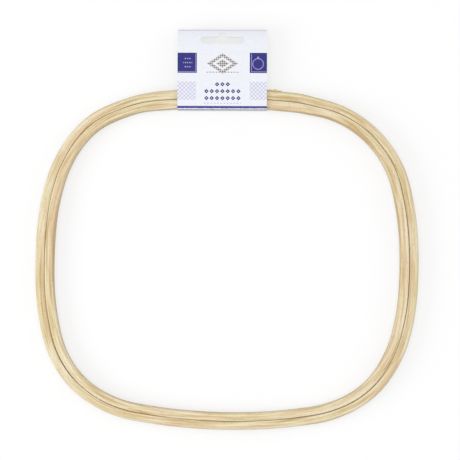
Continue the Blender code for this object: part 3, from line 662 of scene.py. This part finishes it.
def front_underside(y):
    """Height of the front leaf's lower side, which droops to the hanging edge."""
    past = max(0.0, y - (CARD_LENGTH - DROOP_LENGTH))
    return CARD_TOP - CARD_THICKNESS - DROOP * (past / DROOP_LENGTH) ** 2


def front_line(y):
    """Side view of the front leaf, the fold and the spine, at this distance from the fold."""
    bend = FOLD_RADIUS - CARD_THICKNESS / 2
    if y >= FOLD_RADIUS:
        return y, front_underside(y) + CARD_THICKNESS / 2
    angle = min((FOLD_RADIUS - y) / bend, math.pi / 2)
    down = FOLD_RADIUS - y - angle * bend
    return FOLD_RADIUS - bend * math.sin(angle), CARD_TOP - FOLD_RADIUS + bend * math.cos(angle) - down


def back_line(y):
    """Side view of the back leaf: flat under the band, then up to the front leaf."""
    share = min(max((y - BACK_RISE_START) / BACK_RISE_LENGTH, 0.0), 1.0)
    ease = share * share * (3 - 2 * share)
    meeting = front_underside(y) - TAPE_THICKNESS - CARD_THICKNESS / 2
    return y, CARD_THICKNESS / 2 + ease * (meeting - CARD_THICKNESS / 2)


def crease_line(y):
    """Side view of the crease between the back leaf and the spine."""
    bend = CREASE_RADIUS - CARD_THICKNESS / 2
    angle = y / bend
    return CREASE_RADIUS - bend * math.sin(angle), CREASE_RADIUS - bend * math.cos(angle)


def arc_points(x, y, radius, start, finish, steps):
    """Points along an arc of a circle, its two ends among them."""
    points = []
    for step in range(steps + 1):
        angle = start + (finish - start) * step / steps
        points.append((x + radius * math.cos(angle), y + radius * math.sin(angle)))
    return points


def slot_outline():
    """Hanging slot: a long round-ended hole with a bump in the middle of its upper edge."""
    half = SLOT_HEIGHT / 2
    reach = SLOT_LENGTH / 2 - half
    middle = CARD_LENGTH - SLOT_DROP
    bump_y = half + BUMP_RISE - BUMP_RADIUS
    bump_start = math.asin((half - bump_y) / BUMP_RADIUS)
    outline = arc_points(reach, middle, half, -math.pi / 2, math.pi / 2, 14)
    outline += arc_points(0, middle + bump_y, BUMP_RADIUS, bump_start, math.pi - bump_start, 20)
    outline += arc_points(-reach, middle, half, math.pi / 2, 3 * math.pi / 2, 14)
    return outline


def filled(name, outlines):
    """A flat mesh inside the first outline and outside the others."""
    curve = bpy.data.curves.new(name, "CURVE")
    curve.dimensions = "2D"
    curve.fill_mode = "FRONT"
    for outline in outlines:
        spline = curve.splines.new("POLY")
        spline.points.add(len(outline) - 1)
        for point, (x, y) in zip(spline.points, outline):
            point.co = (x, y, 0, 1)
        spline.use_cyclic_u = True
    drawn = placed(name, curve)
    mesh = plain_mesh(drawn)
    bpy.data.objects.remove(drawn)
    bpy.data.curves.remove(curve)
    return mesh


def folded_leaf(name, line, start, finish, cuts, slotted, finishes):
    """One leaf of the blank: cut flat, bent along its side view and given its thickness.
    UV map "print" holds millimetres from the left edge and from the fold."""
    half = CARD_WIDTH / 2
    finish = min(finish, CARD_LENGTH - CARD_TRIM)
    outlines = [[(-half, start), (half, start), (half, finish), (-half, finish)]]
    if slotted:
        radius = CARD_CORNER_RADIUS
        outlines[0][2:] = (
            arc_points(half - radius, finish - radius, radius, 0, math.pi / 2, 6)
            + arc_points(radius - half, finish - radius, radius, math.pi / 2, math.pi, 6))
        outlines.append(slot_outline())
    mesh = filled(name, outlines)
    work = bmesh.new()
    work.from_mesh(mesh)
    bmesh.ops.remove_doubles(work, verts=work.verts, dist=1e-7)
    bmesh.ops.dissolve_limit(work, angle_limit=0.01, verts=work.verts, edges=work.edges)
    for y in cuts:
        geometry = work.verts[:] + work.edges[:] + work.faces[:]
        bmesh.ops.bisect_plane(work, geom=geometry, plane_co=(0, y, 0), plane_no=(0, 1, 0), dist=1e-7)
    bmesh.ops.triangulate(work, faces=[face for face in work.faces if len(face.verts) > 4])
    layer = work.loops.layers.uv.new("print")
    for face in work.faces:
        if face.normal.z < 0:
            face.normal_flip()
        for loop in face.loops:
            loop[layer].uv = ((loop.vert.co.x + half) / MM, loop.vert.co.y / MM)
    for vert in work.verts:
        y, z = line(vert.co.y)
        vert.co = card @ Vector((vert.co.x, y, z))
    work.to_mesh(mesh)
    work.free()
    for side in finishes:
        mesh.materials.append(side)
    leaf = placed(name, mesh)
    sheet = leaf.modifiers.new("thickness", "SOLIDIFY")
    sheet.thickness = CARD_THICKNESS
    sheet.offset = 0
    sheet.use_even_offset = True
    sheet.material_offset = len(finishes) - 1
    sheet.material_offset_rim = len(finishes) - 1
    return baked(leaf)


def steps_between(start, finish, count):
    return [start + (finish - start) * step / count for step in range(count + 1)]


def skinned(name, rings, ends):
    """A closed solid over rings of points, each joined to the next. Its ends are two poles,
    "flat", or "joined" to each other."""
    work = bmesh.new()
    loops = [[work.verts.new(point) for point in ring] for ring in rings]
    if ends == "joined":
        loops.append(loops[0])
    for low, high in zip(loops, loops[1:]):
        for i in range(len(low)):
            after = (i + 1) % len(low)
            work.faces.new((low[i], low[after], high[after], high[i]))
    if ends == "flat":
        work.faces.new(loops[0])
        work.faces.new(reversed(loops[-1]))
    elif ends != "joined":
        for loop, end in zip((loops[0], loops[-1]), ends):
            pole = work.verts.new(end)
            for i in range(len(loop)):
                work.faces.new((loop[i], loop[(i + 1) % len(loop)], pole))
    bmesh.ops.recalc_face_normals(work, faces=work.faces)
    mesh = bpy.data.meshes.new(name)
    work.to_mesh(mesh)
    work.free()
    return mesh


def joining_tape(name, finish):
    """Strip of double-sided tape that holds the leaves together above the slot."""
    far = CARD_LENGTH - TAPE_INSET
    half = TAPE_LENGTH / 2
    rings = []
    for y in steps_between(far - TAPE_WIDTH, far, 2):
        top = front_underside(y)
        low = top - TAPE_THICKNESS
        rings.append([
            card @ Vector((x, y, z)) for x, z in ((-half, top), (half, top), (half, low), (-half, low))])
    mesh = skinned(name, rings, "flat")
    mesh.materials.append(finish)
    return placed(name, mesh)


card = card_place()
bend_length = (FOLD_RADIUS - CARD_THICKNESS / 2) * math.pi / 2
spine_foot = FOLD_RADIUS - bend_length - (CARD_TOP - FOLD_RADIUS - CREASE_RADIUS)
crease_length = (CREASE_RADIUS - CARD_THICKNESS / 2) * math.pi / 2
last_cut = CARD_LENGTH - 0.5 * MM
plain_card = white_card("coated_white_card")
print_card = printed_card("printed_white_card")

card_front = folded_leaf(
    "card_front_leaf_sheet", front_line, spine_foot, CARD_LENGTH,
    [-2 * MM] + steps_between(FOLD_RADIUS - bend_length, FOLD_RADIUS, 8)
    + steps_between(CARD_LENGTH - DROOP_LENGTH, last_cut, 16), True, [print_card, plain_card])
card_back = folded_leaf(
    "card_back_leaf_sheet", back_line, CREASE_RADIUS, CARD_LENGTH,
    steps_between(BACK_RISE_START, last_cut, 30), True, [plain_card])
card_crease = folded_leaf(
    "card_crease", crease_line, 0.0, crease_length,
    steps_between(0.0, crease_length, 8)[1:-1], False, [plain_card])
tape = joining_tape("joining_tape", clear_tape("clear_adhesive_tape"))


# Brackets, rivets, tension screw, washer and nut


def eased_copy(node, name, finish, width, move):
    """A merged copy of a CAD node with its edges eased."""
    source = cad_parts[node].data.copy()
    source.name = name
    work = bmesh.new()
    work.from_mesh(source)
    bmesh.ops.remove_doubles(work, verts=work.verts, dist=1e-6)
    bmesh.ops.dissolve_limit(work, angle_limit=0.01, verts=work.verts, edges=work.edges)
    bmesh.ops.translate(work, verts=work.verts, vec=move)
    work.to_mesh(source)
    work.free()
    source.materials.clear()
    source.materials.append(finish)
    piece = placed(name, source)
    ease = piece.modifiers.new("eased_edges", "BEVEL")
    ease.width = width
    ease.segments = 2
    ease.limit_method = "ANGLE"
    ease.angle_limit = math.radians(40)
    return baked(piece)


def turned_mesh(name, rows, columns):
    """A closed solid of turned rows: each is a height and one radius or one for each column."""
    rings = []
    for height, radii in rows:
        if not isinstance(radii, list):
            radii = [radii] * columns
        angles = [2 * math.pi * i / columns for i in range(columns)]
        rings.append([(radius * math.cos(angle), radius * math.sin(angle), height)
                      for radius, angle in zip(radii, angles)])
    return skinned(name, rings, [(0, 0, rows[0][0]), (0, 0, rows[-1][0])])


def rivet_mesh(name):
    """Domed head, shank and the end flared inside the ring. Its axis is Z, its seat at 0."""
    head_height, head, shank, flare = 0.9 * MM, 2.1 * MM, 1.1 * MM, 1.8 * MM
    rows = []
    for step in range(1, 9):
        angle = math.pi / 2 * step / 8
        height = head_height * math.cos(angle) ** 0.8 if step < 8 else 0.0
        rows.append((height, head * math.sin(angle)))
    rows += [(-0.02 * MM, shank), (RIVET_FOOT + 0.8 * MM, shank), (RIVET_FOOT, flare)]
    return turned_mesh(name, rows, RIVET_COLUMNS)


def rivet_hole_mesh(name):
    """What a rivet's hole takes out of the ring: a bore, opened out for the flared end."""
    bore, opened = 1.2 * MM, 1.95 * MM
    rows = [(0.5 * MM - RIVET_SEAT, bore), (RIVET_FOOT + 0.85 * MM, bore), (RIVET_FOOT, opened),
            (RIVET_FOOT - 0.8 * MM, opened)]
    return turned_mesh(name, rows, RIVET_COLUMNS)


def rivet_tree():
    """Geometry Nodes: one rivet set along both straps, square to the ring."""
    tree, add, given = piece_tree("strap_rivets", {
        "Rivets per Strap": 3, "First X": FIRST_RIVET_X, "Last X": LAST_RIVET_X,
        "Arc Radius": END_RADIUS, "Centre Y": 0.0, "Height": 0.0, "Seat": RIVET_SEAT})
    count = add("ShaderNodeMath", given["Rivets per Strap"], 2.0, operation="MULTIPLY")
    index = add("GeometryNodeInputIndex")
    number = add("ShaderNodeMath", index, given["Rivets per Strap"], operation="MODULO")
    last = add("ShaderNodeMath", given["Rivets per Strap"], 1.0, operation="SUBTRACT")
    is_right = add("ShaderNodeMath", index, last, operation="GREATER_THAN")
    side = add("ShaderNodeMath", is_right, 2.0, -1.0, operation="MULTIPLY_ADD")
    share = add("ShaderNodeMath", number, last, operation="DIVIDE")
    x = add("ShaderNodeMapRange", share, 0.0, 1.0, given["First X"], given["Last X"])
    x = add("ShaderNodeMath", x, side, operation="MULTIPLY")
    rise = add("ShaderNodeMath",
               add("ShaderNodeMath", given["Arc Radius"], 2.0, operation="POWER"),
               add("ShaderNodeMath", x, 2.0, operation="POWER"), operation="SUBTRACT")
    rise = add("ShaderNodeMath", rise, operation="SQRT")
    facing = add("ShaderNodeVectorMath", add("ShaderNodeCombineXYZ", x, rise, 0.0),
                 operation="NORMALIZE")
    reach = add("ShaderNodeMath", given["Arc Radius"], given["Seat"])
    out = add("ShaderNodeVectorMath", facing, operation="SCALE", named={"Scale": reach})
    centre = add("ShaderNodeCombineXYZ", 0.0, given["Centre Y"], given["Height"])
    spots = add("GeometryNodePoints", count, add("ShaderNodeVectorMath", out, centre))
    turn = add("FunctionNodeAlignRotationToVector", axis="Z", named={"Vector": facing})
    set_out = add("GeometryNodeInstanceOnPoints", spots, named={
        "Instance": given["Geometry"], "Rotation": turn})
    real = add("GeometryNodeRealizeInstances", set_out)
    add("NodeGroupOutput", add("GeometryNodeSetMaterial", real, named={"Material": given["Material"]}))
    return tree


def tension_screw(name, finish):
    """Thumb screw: threaded shank, neck and fluted grip, with a driver slot in its end."""
    columns = 4 * FLUTES
    core, crest, point = 1.62 * MM, 1.97 * MM, 1.45 * MM
    # The thread's crest is flat for 14% of its pitch and its root for 18%.
    crest_share, flank_share = 0.14, 0.68
    rows = [(-SCREW_LENGTH, point)]
    start, run_out = 0.5 * MM - SCREW_LENGTH, -1.6 * MM
    count = round((run_out - start) / (THREAD_PITCH / 6))
    for height in steps_between(start, run_out, count):
        fade = min(1.0, (run_out - height) / THREAD_PITCH)
        radii = []
        for i in range(columns):
            turns = (height / THREAD_PITCH - i / columns) % 1.0
            flank = min(max((abs(2 * turns - 1) - crest_share) / flank_share, 0.0), 1.0)
            radii.append(crest - fade * (crest - core) * flank)
        rows.append((height, radii))
    # Plain end of the shank, and the neck between washer and grip.
    rows += [(-0.9 * MM, crest), (-0.5 * MM, crest), (-0.5 * MM, 2.7 * MM), (-0.4 * MM, 2.8 * MM),
             (0.85 * MM, 2.8 * MM), (0.9 * MM, 2.95 * MM)]
    # The grip in millimetres: height, radius, and the share of the flutes' depth cut there.
    grip = [(0.9, 3.25, 0.0), (1.0, 3.40, 0.2), (1.4, 3.78, 0.9), (1.5, 3.86, 1.0), (2.7, 3.9, 1.0),
            (5.7, 3.9, 1.0), (6.9, 3.86, 1.0), (7.0, 3.78, 0.9), (7.35, 3.42, 0.2), (7.45, 3.2, 0.0),
            (7.5, 2.8, 0.0)]
    flute_depth = 0.34
    for height, radius, depth in grip:
        radii = []
        for i in range(columns):
            groove = 0.5 - 0.5 * math.cos(math.pi * (i % 4) / 2)
            radii.append((radius - flute_depth * depth * groove) * MM)
        rows.append((height * MM, radii))
    piece = placed(name, turned_mesh(name, rows, columns))
    slot = bmesh.new()
    slot_size = Matrix.Diagonal((12 * MM, 1.1 * MM, 2.6 * MM, 1.0))
    bmesh.ops.create_cube(slot, size=1.0, matrix=Matrix.Translation((0, 0, HEAD_LENGTH)) @ slot_size)
    slot_mesh = bpy.data.meshes.new("driver_slot")
    slot.to_mesh(slot_mesh)
    slot.free()
    cut_out(piece, placed("driver_slot", slot_mesh), "driver_slot")
    low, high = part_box("tension_screw")
    seat = Vector((high.x - HEAD_LENGTH, (low.y + high.y) / 2, (low.z + high.z) / 2))
    piece.data.transform(Matrix.Translation(seat) @ Matrix.Rotation(math.pi / 2, 4, "Y"))
    piece.data.materials.append(finish)
    return piece


def screw_washer(name, finish):
    """Flat washer with softly rounded rims, close against the right ear."""
    inner, outer, half, ease = 2.2 * MM, 3.5 * MM, 0.4 * MM, 0.12 * MM
    profile = [(outer - ease, half), (outer, half - ease), (outer, ease - half), (outer - ease, -half),
               (inner + ease, -half), (inner, ease - half), (inner, half - ease), (inner + ease, half)]
    rings = []
    for angle in steps_between(0.0, 2 * math.pi, 72)[:-1]:
        rings.append([(h, r * math.cos(angle), r * math.sin(angle)) for r, h in profile])
    mesh = skinned(name, rings, "joined")
    low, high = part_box("screw_washer")
    mesh.transform(Matrix.Translation((low + high) / 2 - Vector((CLOSE_UP, 0, 0))))
    mesh.materials.append(finish)
    return placed(name, mesh)


sheet_brass = rolled_brass("rolled_brass_strip", "#C2B592", "#9A8D70", 0.34, (900.0, 900.0, 6500.0))
rivet_brass = rolled_brass("headed_brass_wire", "#D9C68F", "#B7A472", 0.26, (2500.0, 2500.0, 2500.0))
turned_brass = rolled_brass("turned_brass", "#DDCA93", "#C0AA74", 0.22, (6500.0, 700.0, 700.0))
washer_brass = rolled_brass("stamped_brass", "#D3BE86", "#AE9861", 0.30, (1500.0, 3000.0, 3000.0))
nut_brass = rolled_brass("sawn_brass_bar", "#D2BF8C", "#B09B68", 0.30, (1200.0, 5200.0, 1200.0))

towards_ring = Vector((0, -CLOSE_UP, 0))
bracket_left = eased_copy("bracket_left", "left_bracket", sheet_brass, 0.10 * MM, towards_ring)
bracket_right = eased_copy("bracket_right", "right_bracket", sheet_brass, 0.10 * MM, towards_ring)
nut = eased_copy("square_nut", "square_pocket_nut", nut_brass, 0.18 * MM, Vector((CLOSE_UP, 0, 0)))
washer = screw_washer("flat_washer", washer_brass)
screw = tension_screw("thumb_screw", turned_brass)
set_rivets = rivet_tree()
arc_centre = {"Centre Y": HOOP_CENTRE.y + FRAME_DEPTH / 2 - END_RADIUS, "Height": HOOP_CENTRE.z}
rivets = grown(placed("rivet", rivet_mesh("rivet")), set_rivets,
               {**arc_centre, "Material": rivet_brass}, "strap_rivets")
holes = grown(placed("rivet_hole", rivet_hole_mesh("rivet_hole")), set_rivets,
              {**arc_centre, "Material": outer_beech}, "rivet_holes")
cut_out(outer_ring, holes, "rivet_holes")
rivet_nodes = [f"rivet_{side}_{number}" for side in ("left", "right") for number in (1, 2, 3)]

for piece, body, slot, nodes in (
        (outer_ring, "outer_frame", "pale_beech", ["outer_hoop"]),
        (inner_ring, "inner_frame", "steamed_beech", ["inner_hoop"]),
        (bracket_left, "outer_frame", "sheet_brass", ["bracket_left"]),
        (bracket_right, "outer_frame", "sheet_brass", ["bracket_right"]),
        (rivets, "outer_frame", "rivet_brass", rivet_nodes),
        (nut, "outer_frame", "nut_brass", ["square_nut"]),
        (washer, "washer", "washer_brass", ["screw_washer"]),
        (screw, "screw", "turned_brass", ["tension_screw"]),
        (card_front, "card_front_leaf", "white_card", ["card_front"]),
        (card_back, "hang_card", "white_card", ["card_back"]),
        (tape, "hang_card", "clear_tape", ["card_tape"])):
    settle(piece)
    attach(piece, body)
    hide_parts(*nodes)
settle(card_crease)
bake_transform(card_crease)


# Floor, light and camera


def directly_seen(add):
    """1 for what the camera sees, also in a reflection or through something clear, and 0 for
    what lights the frame."""
    rays = add("ShaderNodeLightPath").outputs
    seen = add("ShaderNodeMath", rays["Is Camera Ray"], rays["Is Glossy Ray"])
    return add("ShaderNodeMath", seen, rays["Is Transmission Ray"])


def lay_floor():
    """White table, just below the frame. It keeps the frame's shadow, and its own glow brings
    it up to white where it is seen."""
    half, below, glow = 3.0, 0.1 * MM, 0.635
    mesh = bpy.data.meshes.new("floor")
    mesh.from_pydata([(-half, -half, 0), (half, -half, 0), (half, half, 0), (-half, half, 0)], [],
                     [(0, 1, 2, 3)])
    floor = placed("floor", mesh)
    floor.location.z = -below
    made, add = new_material("white_table")
    strength = add("ShaderNodeMath", directly_seen(add), glow, operation="MULTIPLY")
    bounce = add("ShaderNodeBsdfDiffuse", linear("#A6A6A7"))
    light = add("ShaderNodeEmission", (1, 1, 1, 1), strength)
    add("ShaderNodeOutputMaterial", add("ShaderNodeAddShader", bounce, light))
    mesh.materials.append(made)


def light_room():
    """White walls that are seen and reflected as pure white, and light the frame at half that."""
    world = bpy.data.worlds.new("studio")
    world.use_nodes = True
    world.node_tree.nodes.clear()
    add = partial(add_node, world.node_tree)
    strength = add("ShaderNodeMath", directly_seen(add), 0.50, 0.50, operation="MULTIPLY_ADD")
    add("ShaderNodeOutputWorld", add("ShaderNodeBackground", (1, 1, 1, 1), strength))
    scene.world = world


def hang_lamp(name, place, size, power):
    """A round soft lamp that faces the middle of the frame."""
    data = bpy.data.lights.new(name, "AREA")
    data.shape = "DISK"
    data.size = size
    data.energy = power
    lamp = placed(name, data)
    lamp.location = place
    to_frame = Vector((0, 0, 0)) - Vector(place)
    lamp.rotation_euler = to_frame.to_track_quat("-Z", "Y").to_euler()


def stand_camera(target, elevation, roll, distance, lens):
    """The photograph's view, almost straight down, turned by a small roll."""
    data = bpy.data.cameras.new("photo_camera")
    data.sensor_width = 36.0
    data.lens = lens
    camera = placed("photo_camera", data)
    tilt = math.radians(elevation)
    turn = math.radians(roll)
    back = Vector((0.0, -math.cos(tilt), math.sin(tilt)))
    right = Vector((1.0, 0.0, 0.0))
    up = back.cross(right)
    side = math.cos(turn) * right + math.sin(turn) * up
    rise = -math.sin(turn) * right + math.cos(turn) * up
    place = Matrix((side, rise, back)).transposed().to_4x4()
    place.translation = Vector(target) + back * distance
    camera.matrix_world = place
    scene.camera = camera


lay_floor()
hang_lamp("window", (-1.50, -0.42, 0.90), size=1.1, power=11.5)
hang_lamp("reflector", (1.40, 0.30, 0.80), size=1.2, power=4.5)
hang_lamp("ceiling", (-0.1, 0.0, 2.0), size=1.8, power=11.0)
light_room()
stand_camera(target=(0.00197, -0.00048, 0.005), elevation=87.0, roll=1.085, distance=1.4454,
             lens=154.66)
scene.view_settings.view_transform = "Standard"
